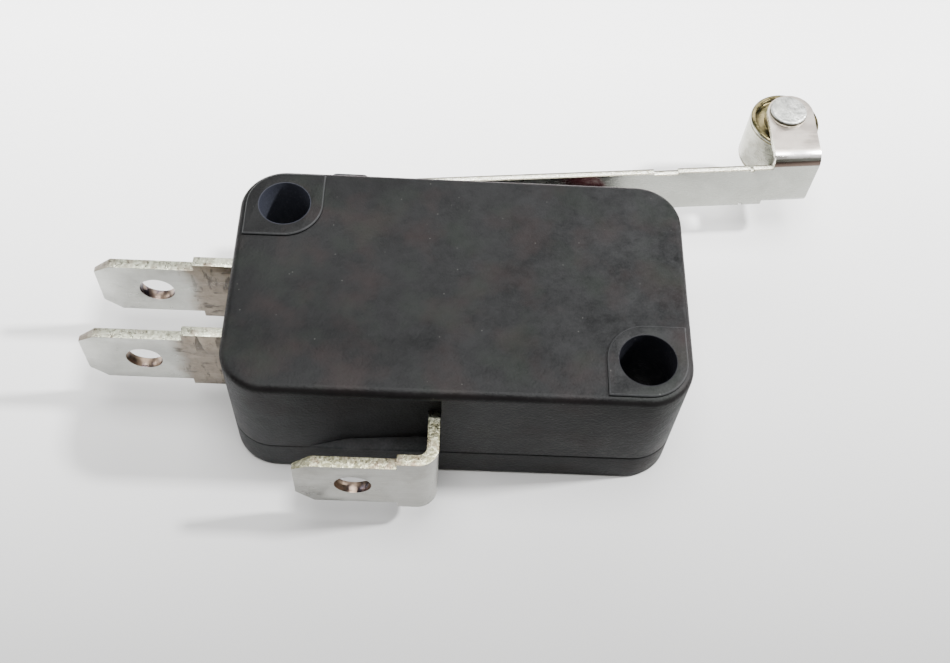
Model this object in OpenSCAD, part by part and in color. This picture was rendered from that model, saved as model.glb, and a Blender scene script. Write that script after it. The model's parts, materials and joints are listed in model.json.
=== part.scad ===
// Lever micro switch: a snap-action switch whose hinged roller lever presses a small plunger.
// It lies on its cover. The origin is on the axis of the corner mounting hole nearest the lever's
// hinge, on the plane that the switch lies on. +X runs along the body towards the roller, +Y out
// through the plunger towards the lever, and +Z up out of the large face.

/* [Body] */
// Length of the body along X
body_len = 27.8; // [27:0.1:29]
// Width of the body along Y
body_wid = 15.9; // [15.5:0.1:16.5]
// Height of the body between its two large faces
body_ht = 10.3; // [10:0.1:10.6]
// Radius of the four upright corners, concentric with the mounting holes
corner_r = 2.8; // [2.6:0.1:3]
// Rounding of the edge around the large face
top_edge_r = 0.45; // [0.2:0.05:0.6]
// Rounding of the edge that the switch lies on
foot_edge_r = 0.3; // [0.2:0.05:0.4]
// Height of the joint between cover and case
parting_z = 2.75; // [2.5:0.05:2.75]
// Bevel on both sides of that joint
parting_bevel = 0.1; // [0.05:0.01:0.15]
// Thickness of the outer walls
wall = 1.3; // [1.1:0.1:1.4]
// Thickness of the wall on the common terminal's side
front_wall = 2.1; // [2:0.1:2.3]
// Thickness of the cover's floor
floor_t = 1.2; // [1:0.1:1.4]
// Thickness of the case's roof, below the raised pads
roof_t = 1.5; // [1.2:0.1:1.5]

/* [Mounting holes] */
// Radius of the datum hole, at the origin
datum_hole_r = 1.6; // [1.5:0.05:1.65]
// Radius of the second hole
second_hole_r = 1.7; // [1.6:0.05:1.75]
// Radius of the boss around each hole inside the body
boss_r = 2.7; // [2.5:0.05:2.75]
// Reach of the raised pad around each hole
pad_r = 2.4; // [2.2:0.05:2.45]
// Height of the raised pads
pad_h = 0.2; // [0.1:0.05:0.3]

/* [Cover pegs] */
// Radius of the pegs that locate the cover
peg_r = 0.6; // [0.5:0.05:0.7]
// Length of the pegs
peg_len = 2.2; // [1.5:0.1:2.5]
// Radius of the case's bosses around the pegs
peg_boss_r = 1.4; // [1.2:0.05:1.45]

/* [Front recess] */
// Where the recess starts to slope in, along X
recess_x0 = 1.9; // [1.5:0.1:2.5]
// Where the slope has reached most of its depth
recess_x1 = 4.5; // [4:0.1:5.5]
// Depth of the recess at the end of the slope
recess_d1 = 0.7; // [0.5:0.05:0.8]
// Depth of the recess at the common terminal
recess_d2 = 1.0; // [0.85:0.05:1.1]
// Height of the recess's roof
recess_top = 9.45; // [9.2:0.05:9.5]

/* [Terminals] */
// Thickness of the terminal strip
strip_t = 0.7; // [0.65:0.05:0.8]
// Width of the connector tab
tab_w = 4.75; // [4.5:0.05:4.8]
// Width of the shoulder next to the body
shoulder_w = 5.9; // [5.5:0.1:5.9]
// Height of the common terminal's neck above its middle
common_neck_up = 1.2; // [1:0.1:1.5]
// Length of the shoulder of the two side terminals
shoulder_len = 2.8; // [2.5:0.1:3]
// Distance from the body to the tip of the two side terminals
side_reach = 9.2; // [9:0.1:10]
// Distance from the tip to the hole in a tab
tab_hole_in = 3.75; // [3.5:0.05:4]
// Distance from the tip to the hole in the bent tab
bent_hole_in = 3.5; // [3.3:0.05:3.7]
// Radius of the hole in each tab
tab_hole_r = 1.1; // [0.9:0.05:1.2]
// Length of the chamfer on the tip's corners
tip_chamfer_len = 1.1; // [0.8:0.1:1.3]
// Width of the chamfer on the tip's corners
tip_chamfer_wid = 0.8; // [0.6:0.1:1]
// Thickness of the coined tip
tip_t = 0.4; // [0.3:0.05:0.5]
// Upper face of the normally open terminal, along Y
open_term_y = -2.8; // [-2.85:0.05:-2.75]
// Upper face of the normally closed terminal, along Y
closed_term_y = -7.9; // [-8:0.05:-7.85]
// Outer side of the common terminal's strip, along X
common_x = 10.2; // [10.1:0.05:10.2]
// Distance from the body to the outer face of the common terminal's bent tab
common_drop = 3.5; // [3.4:0.1:4]
// Outer radius of the common terminal's bend
bend_r = 1.2; // [1:0.05:1.4]
// Tip of the bent tab, along X
common_tip_x = 1.7; // [1.2:0.1:2]
// End of the bent tab's shoulder, along X
common_step_x = 7.8; // [7.4:0.1:8]

/* [Contacts and blade] */
// Thickness of the head of the two fixed contacts
fixed_head_t = 0.8; // [0.7:0.05:0.9]
// Thickness of each head of the moving contact
moving_head_t = 0.58; // [0.5:0.01:0.58]
// Radius of the contact heads
contact_r = 1.2; // [1:0.05:1.3]
// Radius of the contact rivets' shanks
contact_shank_r = 0.6; // [0.5:0.05:0.65]
// Place of the contacts along X
contact_x = 1.5; // [1.3:0.1:1.6]
// Thickness of the moving blade
blade_t = 0.25; // [0.2:0.05:0.3]
// Width of the moving blade
blade_w = 3.2; // [2.8:0.1:3.4]

/* [Return spring] */
// Distance from the plunger's axis back to the return spring's
spring_back = 4; // [3.7:0.1:4.5]
// Outer radius of the return spring
spring_r = 1.5; // [1.3:0.05:1.6]
// Thickness of the spring's wire
wire_t = 0.4; // [0.3:0.05:0.45]
// Number of turns
spring_turns = 6; // [5:1:7]

/* [Plunger] */
// Distance from the plunger's axis to the body's nearer end
plunger_in = 4.8; // [4.6:0.1:4.9]
// Radius of the plunger's stem
stem_r = 1.2; // [1:0.05:1.25]
// Radius of the flange that keeps the plunger in
flange_r = 1.9; // [1.8:0.05:1.9]
// Thickness of that flange
flange_t = 0.8; // [0.6:0.1:0.9]
// Length of the guide collar inside the wall
guide_len = 2.0; // [1.6:0.1:2]

/* [Lever] */
// Rest angle of the lever above the body
lever_tilt = 6; // [6:0.1:6.4]
// Working angle of the lever
lever_travel = 5.4; // [5:0.1:5.4]
// Thickness of the lever's sheet
sheet_t = 0.45; // [0.4:0.05:0.5]
// Width of the lever's sheet
lever_w = 3.8; // [3.6:0.1:3.9]
// Height of the sheet's middle above the body's
lever_rise = 0.15; // [0.1:0.05:0.2]
// Hinge axis along X
hinge_x = 3.7; // [3.6:0.05:3.8]
// Hinge axis above the body's side
hinge_up = 0.5; // [0.5:0.05:0.6]
// Height of the sheet's underside above the hinge axis
sheet_up = 0.69; // [0.69:0.01:0.75]
// Radius of the hinge pin
pin_r = 0.5; // [0.45:0.01:0.5]
// Radius of the lever's lugs around the pin
lug_r = 0.95; // [0.85:0.05:0.95]
// Outer radius of the folds at the lugs
lug_fold_r = 0.6; // [0.55:0.05:0.65]
// Width of the body's two ears along X
ear_w = 2.5; // [2.4:0.05:2.5]
// Height of the ears above the hinge axis
ear_up = 1.0; // [0.95:0.05:1.1]
// Thickness of the cover's ear
cover_ear_t = 1.1; // [1:0.05:1.1]
// Thickness of the case's ear
case_ear_t = 0.7; // [0.6:0.05:0.8]
// Width of the gap between the case's ear and the lever
ear_gap = 0.2; // [0.15:0.05:0.3]

/* [Roller bracket] */
// Roller axis along the sheet from the hinge axis
roller_along = 30.55; // [30:0.05:31.5]
// Roller axis above the hinge axis, square to the sheet
roller_up = 4.7; // [4.6:0.1:5]
// Radius of the roller
roller_r = 2.4; // [2.2:0.1:2.5]
// Length of the roller
roller_len = 3.9; // [3.6:0.1:4]
// Depth of the recess in each end of the roller
roller_dish = 0.3; // [0.2:0.05:0.4]
// Rounding of the roller's two rims
roller_rim_r = 0.2; // [0.1:0.05:0.25]
// Width of the bracket over its two ears
bracket_w = 5.15; // [5.1:0.05:5.4]
// Height of the bracket's middle above the body's
bracket_rise = 0.6; // [0.5:0.05:0.65]
// Width of the bracket along the sheet
bracket_len = 3.2; // [3:0.1:3.4]
// Radius of the ears' round ends
bracket_ear_r = 1.65; // [1.5:0.05:1.7]
// How far those round ends lean out past the roller's axis
bracket_lean = 0.35; // [0.2:0.05:0.4]
// Outer radius of the bracket's folds
fold_r = 0.9; // [0.8:0.05:1]
// Radius of the roller rivet's shank
rivet_r = 0.75; // [0.7:0.05:0.8]
// Radius of the roller rivet's heads
rivet_head_r = 1.28; // [1.1:0.02:1.3]
// Thickness of the roller rivet's heads
rivet_head_t = 0.4; // [0.3:0.05:0.5]

/* [Clearances] */
// Radial play of the lever on its pin and of the roller on its rivet
running_play = 0.05; // [0.03:0.01:0.08]
// Radial play of the plunger in its guide
guide_play = 0.06; // [0.04:0.01:0.09]
// Play around fixed pieces in their slots and holes
fixed_play = 0.02; // [0.01:0.01:0.03]
// Gap left where one moving piece bears on the next
touch_gap = 0.05; // [0.03:0.01:0.08]

/* [Hidden] */
$fn = 96;
hull_fn = 32;
eps = 0.01;

// The body's outline and its inner space
x_left = -corner_r;
x_right = body_len - corner_r;
y_back = corner_r;
y_front = corner_r - body_wid;
face_z = body_ht - pad_h;
mid_z = body_ht / 2;
roof_z = face_z - roof_t;
in_left = x_left + wall;
in_right = x_right - wall;
in_back = y_back - wall;
in_front = y_front + front_wall;
hole_dx = body_len - 2 * corner_r;
hole_dy = body_wid - 2 * corner_r;
front_peg_in = [0.9, 0.1];
back_peg_in = 0.8;
pegs = [[in_left + front_peg_in.x, in_front + front_peg_in.y], [in_right - back_peg_in, in_back - back_peg_in]];

// The hinge, and a point of the lever carried into the body's frame
hinge_y = y_back + hinge_up;
pocket_w = ear_w + 2 * running_play;
pocket_floor = hinge_y - lug_r - ear_gap;
case_ear_z = mid_z + lever_rise + lever_w / 2 + ear_gap;
function sheet_y(x, tilt) = hinge_y + (x - hinge_x) * tan(tilt) + sheet_up / cos(tilt);

// The plunger's ends, and its travel under the lever
plunger_x = x_right - plunger_in;
plunger_top = sheet_y(plunger_x, lever_tilt) - touch_gap;
plunger_travel = sheet_y(plunger_x, lever_tilt) - sheet_y(plunger_x, lever_tilt - lever_travel);
guide_end = in_back - guide_len;

// The blade rocks on the common terminal's edge, level when half pressed
knife_x = common_x - strip_t / 2;
blade_tilt = asin(plunger_travel / 2 / (plunger_x - knife_x));
contact_margin = 0.2;
closed_face = closed_term_y + fixed_head_t;
open_face = open_term_y - strip_t - fixed_head_t;
knife_y = (closed_face + open_face - blade_t) / 2;
blade_left = knife_x - contact_x + contact_r + contact_margin;
blade_right = plunger_x - knife_x + stem_r;
plunger_foot = knife_y + blade_t / cos(blade_tilt) + (plunger_x - knife_x) * tan(blade_tilt) + touch_gap;
spring_x = plunger_x - spring_back;
spring_top = knife_y + (spring_x - spring_r - knife_x) * tan(blade_tilt) - touch_gap;

// Details of the pressed parts
inner_gap = 0.05;
inner_shoulder_len = 1.4;
inner_shoulder_w = 5.4;
tongue_w = 3.2;
shoulder_gap = 0.35;
knife_len = 0.5;
dome_drop = 0.15;
dome_r = 1.6;
foot_cone = 0.7;
collar_past_flange = 0.2;
spring_post_h = 1;
spring_post_gap = 0.2;
peg_hole_extra = 0.3;
ear_corner_r = 0.4;
notch_along = 21.5;
notch_len = 1.7;
notch_depth = 0.18;
relief_along = 27.5;
relief_len = 0.25;
roller_rim_w = 0.2;
roller_hub_r = 1.4;
rivet_crown = 0.7;

// Shared shapes

module along_y(x, y, z) {
    translate([x, y, z]) rotate([-90, 0, 0]) children();
}

// Points of a quarter circle, from angle a over 90 degrees
function quarter(cx, cz, r, a, n = 6) = [for (i = [0:n]) [cx + r * cos(a + 90 * i / n), cz + r * sin(a + 90 * i / n)]];

module corner_posts(profile) {
    hull()
        for (x = [0, hole_dx], y = [0, -hole_dy])
            translate([x, y, 0]) rotate_extrude($fn = hull_fn) polygon(profile);
}

module inner_space(low, high) {
    // The hollow, less the bosses around the holes and the cover's pegs
    difference() {
        translate([in_left, in_front, low]) cube([in_right - in_left, in_back - in_front, high - low]);
        translate([0, 0, low - eps]) cylinder(r = boss_r, h = high - low + 2 * eps);
        translate([hole_dx, -hole_dy, low - eps]) cylinder(r = boss_r, h = high - low + 2 * eps);
        for (p = pegs)
            translate([p.x, p.y, low - eps]) cylinder(r = peg_boss_r, h = high - low + 2 * eps);
    }
}

module mounting_holes() {
    translate([0, 0, -1]) cylinder(r = datum_hole_r, h = body_ht + 2);
    translate([hole_dx, -hole_dy, -1]) cylinder(r = second_hole_r, h = body_ht + 2);
}

module raised_pad() {
    // Round towards the two sides, square at two opposite corners
    translate([0, 0, face_z - eps]) {
        cylinder(r = pad_r, h = pad_h + eps);
        cube([pad_r, pad_r, pad_h + eps]);
        translate([-pad_r, -pad_r, 0]) cube([pad_r, pad_r, pad_h + eps]);
    }
}

module hinge_ear(low, thickness) {
    // An ear on the body's side that holds one end of the hinge pin, with two rounded corners
    translate([hinge_x, hinge_y + ear_up, low])
        linear_extrude(thickness)
            hull() {
                for (s = [-1, 1])
                    translate([s * (ear_w / 2 - ear_corner_r), -ear_corner_r]) circle(r = ear_corner_r);
                translate([-ear_w / 2, pocket_floor - eps - hinge_y - ear_up]) square([ear_w, ear_corner_r]);
            }
}

module pin_hole(low, high) {
    translate([hinge_x, hinge_y, low]) cylinder(r = pin_r + fixed_play, h = high - low);
}

// Housing

module case() {
    profile = concat(
        [[0, parting_z], [corner_r - parting_bevel, parting_z], [corner_r, parting_z + parting_bevel]],
        quarter(corner_r - top_edge_r, face_z - top_edge_r, top_edge_r, 0),
        [[0, face_z]]
    );
    color([0.09, 0.09, 0.095])
        difference() {
            union() {
                corner_posts(profile);
                raised_pad();
                translate([hole_dx, -hole_dy, 0]) raised_pad();
                hinge_ear(case_ear_z, case_ear_t);
            }
            difference() {
                inner_space(parting_z - 1, roof_z);
                plunger_guide();
                spring_post();
            }
            mounting_holes();
            case_peg_holes();
            front_recess();
            terminal_slots();
            lever_pocket();
            pin_hole(case_ear_z - eps, case_ear_z + case_ear_t + eps);
            along_y(plunger_x, guide_end - 1, mid_z)
                cylinder(r = stem_r + guide_play, h = y_back - guide_end + 2);
        }
}

module plunger_guide() {
    along_y(plunger_x, guide_end, mid_z) cylinder(r = flange_r + collar_past_flange, h = in_back - guide_end + eps);
}

module spring_post() {
    along_y(spring_x, in_front - eps, mid_z) cylinder(r = spring_r - wire_t - spring_post_gap, h = spring_post_h);
}

module case_peg_holes() {
    for (p = pegs)
        translate([p.x, p.y, parting_z - eps]) cylinder(r = peg_r + fixed_play, h = peg_len + peg_hole_extra);
}

module front_recess() {
    // A pocket in the front wall that slopes in towards the common terminal
    recess_end = common_x + inner_gap;
    translate([0, y_front, parting_z - 1])
        linear_extrude(recess_top - parting_z + 1)
            polygon([
                [recess_x0, -1], [recess_x0, 0], [recess_x1, recess_d1],
                [common_x - 2 * strip_t, recess_d2], [recess_end, recess_d2], [recess_end, -1]
            ]);
}

module terminal_slots() {
    // Slots in the walls, open at the cover's joint
    slot_t = strip_t + 2 * fixed_play;
    slot_low = parting_z - eps;
    for (y = [open_term_y, closed_term_y])
        translate([x_left - 1, y - strip_t - fixed_play, slot_low])
            cube([wall + 2, slot_t, mid_z + tab_w / 2 + fixed_play - slot_low]);
    translate([common_x - strip_t - fixed_play, y_front - 1, slot_low])
        cube([slot_t, front_wall + 2, mid_z + common_neck_up + fixed_play - slot_low]);
}

module lever_pocket() {
    // Room in the body's side for the lever's hinge lugs
    translate([hinge_x - pocket_w / 2, pocket_floor, parting_z - 1])
        cube([pocket_w, y_back - pocket_floor + 1, case_ear_z - parting_z + 1]);
}

module cover() {
    profile = concat(
        [[0, 0]],
        quarter(corner_r - foot_edge_r, foot_edge_r, foot_edge_r, -90),
        [[corner_r, parting_z - parting_bevel], [corner_r - parting_bevel, parting_z], [0, parting_z]]
    );
    color([0.09, 0.09, 0.095]) {
        difference() {
            union() {
                corner_posts(profile);
                hinge_ear(parting_z - cover_ear_t, cover_ear_t);
            }
            inner_space(floor_t, parting_z + 1);
            mounting_holes();
            pin_hole(parting_z - cover_ear_t - eps, parting_z + eps);
        }
        for (p = pegs)
            translate([p.x, p.y, parting_z - eps]) cylinder(r = peg_r, h = peg_len + eps);
    }
}

module hinge_pin() {
    color([0.72, 0.72, 0.72])
        translate([hinge_x, hinge_y, parting_z - cover_ear_t])
            cylinder(r = pin_r, h = case_ear_z + case_ear_t + cover_ear_t - parting_z);
}

// Terminals

module tab_outline(tip, hole_in, root) {
    // Connector tab, drawn with its tip towards -X and centred on its width
    difference() {
        polygon([
            [tip, tab_w / 2 - tip_chamfer_wid], [tip + tip_chamfer_len, tab_w / 2], [root, tab_w / 2],
            [root, -tab_w / 2], [tip + tip_chamfer_len, -tab_w / 2], [tip, tip_chamfer_wid - tab_w / 2]
        ]);
        translate([tip + hole_in, 0]) circle(r = tab_hole_r);
    }
}

module coined_edge(tip, low, high) {
    // Side view of a strip from low to high, thinned towards its tip
    thin = (high - low - tip_t) / 2;
    polygon([
        [tip, low + thin], [tip + tip_chamfer_len, low], [tip + body_len, low],
        [tip + body_len, high], [tip + tip_chamfer_len, high], [tip, high - thin]
    ]);
}

module side_plate(low, high, width) {
    // A straight length of the side terminals' strip, below y = 0 and centred on its width
    translate([low, -strip_t, -width / 2]) cube([high - low, strip_t, width]);
}

module side_terminal(y_top) {
    // Tab, shoulder, neck through the wall, inner shoulder and the tongue that carries the contact
    tip = x_left - side_reach;
    inner = in_left + inner_gap;
    tongue_end = contact_x + contact_r + contact_margin;
    color([0.78, 0.77, 0.74])
        translate([0, y_top, mid_z])
            difference() {
                union() {
                    intersection() {
                        rotate([90, 0, 0]) linear_extrude(strip_t) tab_outline(tip, tab_hole_in, inner + eps);
                        translate([0, 0, -tab_w]) linear_extrude(2 * tab_w) coined_edge(tip, -strip_t, 0);
                    }
                    side_plate(x_left - shoulder_len, x_left - fixed_play, shoulder_w);
                    side_plate(inner, inner + inner_shoulder_len, inner_shoulder_w);
                    side_plate(inner, tongue_end, tongue_w);
                }
                along_y(contact_x, -2 * strip_t, 0) cylinder(r = contact_shank_r + fixed_play, h = 3 * strip_t);
            }
}

module normally_open_terminal() {
    side_terminal(open_term_y);
}

module normally_closed_terminal() {
    side_terminal(closed_term_y);
}

module common_side_view() {
    // The strip from its knife edge down through the wall, round the bend and along the tab
    tab_y = y_front - common_drop;
    strip_x = common_x - strip_t;
    bend_x = common_x - bend_r;
    edge_y = knife_y - touch_gap;
    polygon([
        [strip_x, tab_y + bend_r], [common_x, tab_y + bend_r], [common_x, edge_y - knife_len],
        [knife_x, edge_y], [strip_x, edge_y - knife_len]
    ]);
    intersection() {
        translate([bend_x, tab_y + bend_r])
            difference() {
                circle(r = bend_r);
                circle(r = bend_r - strip_t);
            }
        translate([bend_x, tab_y]) square(bend_r);
    }
    intersection() {
        translate([common_tip_x, tab_y]) square([bend_x - common_tip_x, strip_t]);
        coined_edge(common_tip_x, tab_y, tab_y + strip_t);
    }
}

module common_widths() {
    // How wide the strip is along its way, as blocks that the side view is cut with
    tab_y = y_front - common_drop;
    translate([0, tab_y + 1.5 * strip_t, 0])
        rotate([90, 0, 0])
            linear_extrude(2 * strip_t) tab_outline(common_tip_x, bent_hole_in, common_step_x + eps);
    neck_end = in_front + inner_gap;
    for (s = [
        [tab_y - eps, y_front - shoulder_gap, -shoulder_w / 2, shoulder_w / 2],
        [y_front - shoulder_gap - eps, neck_end, -tab_w / 2, common_neck_up],
        [neck_end, neck_end + inner_shoulder_len, -inner_shoulder_w / 2, inner_shoulder_w / 2],
        [neck_end + inner_shoulder_len - eps, knife_y, -tongue_w / 2, tongue_w / 2]
    ])
        translate([common_step_x, s[0], s[2]]) cube([common_x, s[1] - s[0], s[3] - s[2]]);
}

module common_terminal() {
    color([0.78, 0.77, 0.74])
        translate([0, 0, mid_z])
            intersection() {
                translate([0, 0, -body_ht / 2]) linear_extrude(body_ht) common_side_view();
                common_widths();
            }
}

// Contacts, blade and spring

module fixed_contact(face_dir, back_y) {
    // A rivet with a domed head; back_y is the strip's side away from the head
    head = strip_t + fixed_head_t;
    color([0.85, 0.85, 0.83])
        translate([contact_x, back_y, mid_z])
            rotate([-90 * face_dir, 0, 0])
                rotate_extrude()
                    polygon([
                        [0, 0], [contact_shank_r, 0], [contact_shank_r, strip_t], [contact_r, strip_t],
                        [contact_r, head - dome_drop], [contact_r / 2, head - dome_drop / 4], [0, head]
                    ]);
}

module normally_open_contact() {
    fixed_contact(-1, open_term_y);
}

module normally_closed_contact() {
    fixed_contact(1, closed_term_y - strip_t);
}

module on_blade() {
    // Blade frame: origin on the knife edge, tilted as at rest
    translate([knife_x, knife_y, mid_z]) rotate([0, 0, blade_tilt]) children();
}

module moving_blade() {
    color([0.72, 0.55, 0.32])
        on_blade()
            difference() {
                translate([-blade_left, 0, -blade_w / 2]) cube([blade_left + blade_right, blade_t, blade_w]);
                along_y(contact_x - knife_x, -1, 0) cylinder(r = contact_shank_r + fixed_play, h = 2);
            }
}

module moving_contact() {
    head_low = -moving_head_t;
    head_high = blade_t + moving_head_t;
    color([0.85, 0.85, 0.83])
        on_blade()
            along_y(contact_x - knife_x, 0, 0)
                rotate_extrude()
                    polygon([
                        [0, head_low], [contact_r, head_low], [contact_r, 0], [contact_shank_r, 0],
                        [contact_shank_r, blade_t], [contact_r, blade_t], [contact_r, head_high],
                        [0, head_high]
                    ]);
}

// One ring of the spring's wire, at turn t of its coil
function coil_ring(t, coil_r, rise, sides) = [
    for (i = [0:sides - 1])
        let (a = 360 * i / sides, r = coil_r + wire_t / 2 * cos(a))
        [r * cos(360 * t), r * sin(360 * t), rise * t + wire_t / 2 * sin(a)]
];

module return_spring() {
    sides = 8;
    per_turn = 16;
    rings = spring_turns * per_turn;
    coil_r = spring_r - wire_t / 2;
    rise = (spring_top - in_front - wire_t) / spring_turns;
    points = [for (k = [0:rings]) each coil_ring(k / per_turn, coil_r, rise, sides)];
    walls = [
        for (k = [0:rings - 1], i = [0:sides - 1])
            let (a = k * sides + i, b = k * sides + (i + 1) % sides)
            [a, a + sides, b + sides, b]
    ];
    ends = [[for (i = [0:sides - 1]) i], [for (i = [sides - 1:-1:0]) rings * sides + i]];
    color([0.7, 0.7, 0.72])
        along_y(spring_x, in_front + wire_t / 2, mid_z) polyhedron(points, concat(walls, ends));
}

// Plunger, lever and roller

module plunger() {
    length = plunger_top - plunger_foot;
    flange_high = guide_end - touch_gap - plunger_foot;
    dome_a = asin(stem_r / dome_r);
    dome = [for (i = [0:8]) let (a = dome_a * (1 - i / 8)) [dome_r * sin(a), length - dome_r * (1 - cos(a))]];
    color([0.28, 0.06, 0.06])
        along_y(plunger_x, plunger_foot, mid_z)
            rotate_extrude()
                polygon(concat(
                    [
                        [0, 0], [stem_r / 3, 0], [stem_r, stem_r * foot_cone], [stem_r, flange_high - flange_t],
                        [flange_r, flange_high - flange_t], [flange_r, flange_high], [stem_r, flange_high]
                    ],
                    dome
                ));
}

module on_lever() {
    // Lever frame: origin on the hinge axis, +X along the sheet, +Y square to it
    translate([hinge_x, hinge_y, mid_z]) rotate([0, 0, lever_tilt]) children();
}

module round_u(half, height, r) {
    translate([-half, r]) square([2 * half, height - r]);
    translate([r - half, 0]) square([2 * (half - r), height]);
    for (s = [-1, 1])
        translate([s * (half - r), r]) circle(r = r);
}

module channel(half, height, length, r) {
    // Folded sheet along +X: a flat base at y = 0 and an arm up at each side
    rotate([0, 90, 0])
        linear_extrude(length)
            difference() {
                round_u(half, height, r);
                translate([0, sheet_t]) round_u(half - sheet_t, height, r - sheet_t);
            }
}

module sheet_edge_cut(x, length, depth) {
    // A shallow notch in both edges of the sheet
    for (s = [-1, 1])
        translate([x - length / 2, sheet_up - 1, lever_rise + s * (lever_w / 2 + 1) - 1 - s * depth])
            cube([length, sheet_t + 2, 2]);
}

module lever_sheet() {
    translate([lug_r - eps, sheet_up, lever_rise - lever_w / 2])
        cube([roller_along - bracket_len / 2 - lug_r + 2 * eps, sheet_t, lever_w]);
}

module hinge_lugs() {
    // Two lugs folded down from the sheet's end, round about the hinge pin
    height = sheet_up + sheet_t + lug_r;
    intersection() {
        translate([-lug_r, sheet_up + sheet_t, lever_rise])
            mirror([0, 1, 0]) channel(lever_w / 2, height, 2 * lug_r, lug_fold_r);
        union() {
            cylinder(r = lug_r, h = 2 * lever_w, center = true);
            translate([-lug_r, 0, -lever_w]) cube([2 * lug_r, 2 * sheet_up, 2 * lever_w]);
        }
    }
}

module bracket_ear_outline() {
    // Side view of an ear: straight up off the sheet, then leaning out to its round end
    left = roller_along - bracket_len / 2;
    hull() {
        translate([left, 0]) square([bracket_len, sheet_up + fold_r]);
        translate([roller_along + bracket_lean, roller_up]) circle(r = bracket_ear_r);
    }
}

module roller_bracket() {
    // Two ears folded up from the sheet's end
    left = roller_along - bracket_len / 2;
    reach = bracket_len + bracket_lean + bracket_ear_r;
    intersection() {
        translate([left, sheet_up, bracket_rise])
            channel(bracket_w / 2, roller_up + bracket_ear_r, reach, fold_r);
        translate([0, 0, -bracket_w]) linear_extrude(2 * bracket_w) bracket_ear_outline();
    }
}

module lever() {
    color([0.75, 0.75, 0.74])
        on_lever()
            difference() {
                union() {
                    lever_sheet();
                    hinge_lugs();
                    roller_bracket();
                }
                sheet_edge_cut(notch_along, notch_len, notch_depth);
                sheet_edge_cut(relief_along, relief_len, notch_depth);
                cylinder(r = pin_r + running_play, h = 2 * lever_w, center = true);
                translate([roller_along, roller_up, 0])
                    cylinder(r = rivet_r + fixed_play, h = 2 * bracket_w, center = true);
            }
}

module roller_rivet() {
    half = bracket_w / 2;
    high = half + rivet_head_t;
    edge = half + rivet_head_t / 3;
    crown_r = rivet_head_r * rivet_crown;
    color([0.7, 0.7, 0.7])
        on_lever()
            translate([roller_along, roller_up, bracket_rise])
                rotate_extrude()
                    polygon([
                        [0, -high], [crown_r, -high], [rivet_head_r, -edge], [rivet_head_r, -half],
                        [rivet_r, -half], [rivet_r, half],
                        [rivet_head_r, half], [rivet_head_r, edge], [crown_r, high], [0, high]
                    ]);
}

module roller() {
    // Rounded rims, and a shallow recess between hub and rim at both ends
    half = roller_len / 2;
    bore = rivet_r + running_play;
    dish_r = roller_r - roller_rim_r - roller_rim_w;
    floor_z = half - roller_dish;
    upper = concat(
        quarter(roller_r - roller_rim_r, half - roller_rim_r, roller_rim_r, 0),
        [[dish_r, half], [dish_r, floor_z], [roller_hub_r, floor_z], [roller_hub_r, half], [bore, half]]
    );
    lower = [for (i = [len(upper) - 1:-1:0]) [upper[i].x, -upper[i].y]];
    color([0.68, 0.67, 0.63])
        on_lever()
            translate([roller_along, roller_up, bracket_rise])
                rotate_extrude() polygon(concat(upper, lower));
}

case();
cover();
normally_open_terminal();
normally_closed_terminal();
common_terminal();
normally_open_contact();
normally_closed_contact();
hinge_pin();
return_spring();
moving_blade();
moving_contact();
plunger();
lever();
roller_rivet();
roller();
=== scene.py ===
"""Looks of the lever micro switch: moulded housing, plated terminals, folded lever and turned roller."""
import json
import math

import bmesh
import bpy
from mathutils import Matrix, Vector


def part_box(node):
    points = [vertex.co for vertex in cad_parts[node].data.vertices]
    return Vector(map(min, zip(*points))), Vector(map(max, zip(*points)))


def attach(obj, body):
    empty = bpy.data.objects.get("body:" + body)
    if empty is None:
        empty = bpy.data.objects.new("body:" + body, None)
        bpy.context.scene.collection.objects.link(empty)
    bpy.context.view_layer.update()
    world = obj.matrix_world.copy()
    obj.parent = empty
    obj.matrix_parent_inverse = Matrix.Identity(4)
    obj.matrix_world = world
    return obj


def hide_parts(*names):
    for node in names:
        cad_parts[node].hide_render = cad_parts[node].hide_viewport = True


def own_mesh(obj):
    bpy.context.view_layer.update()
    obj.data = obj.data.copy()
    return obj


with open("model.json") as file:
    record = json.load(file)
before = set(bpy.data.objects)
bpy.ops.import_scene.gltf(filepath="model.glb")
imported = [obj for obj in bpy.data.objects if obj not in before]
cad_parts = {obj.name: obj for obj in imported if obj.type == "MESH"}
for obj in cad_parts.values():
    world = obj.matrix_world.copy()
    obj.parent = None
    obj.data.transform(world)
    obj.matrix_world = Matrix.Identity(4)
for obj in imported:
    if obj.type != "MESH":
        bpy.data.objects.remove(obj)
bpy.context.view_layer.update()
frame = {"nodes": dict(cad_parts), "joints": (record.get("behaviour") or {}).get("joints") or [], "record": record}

# ---------------------------------------------------------------- sizes, in metres

MM = 0.001
MOUNTS = {mount["name"]: mount for mount in frame["record"]["mounts"]}
JOINTS = {joint["name"]: joint for joint in frame["joints"]}
CASE_LOW, CASE_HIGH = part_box("case")

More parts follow.
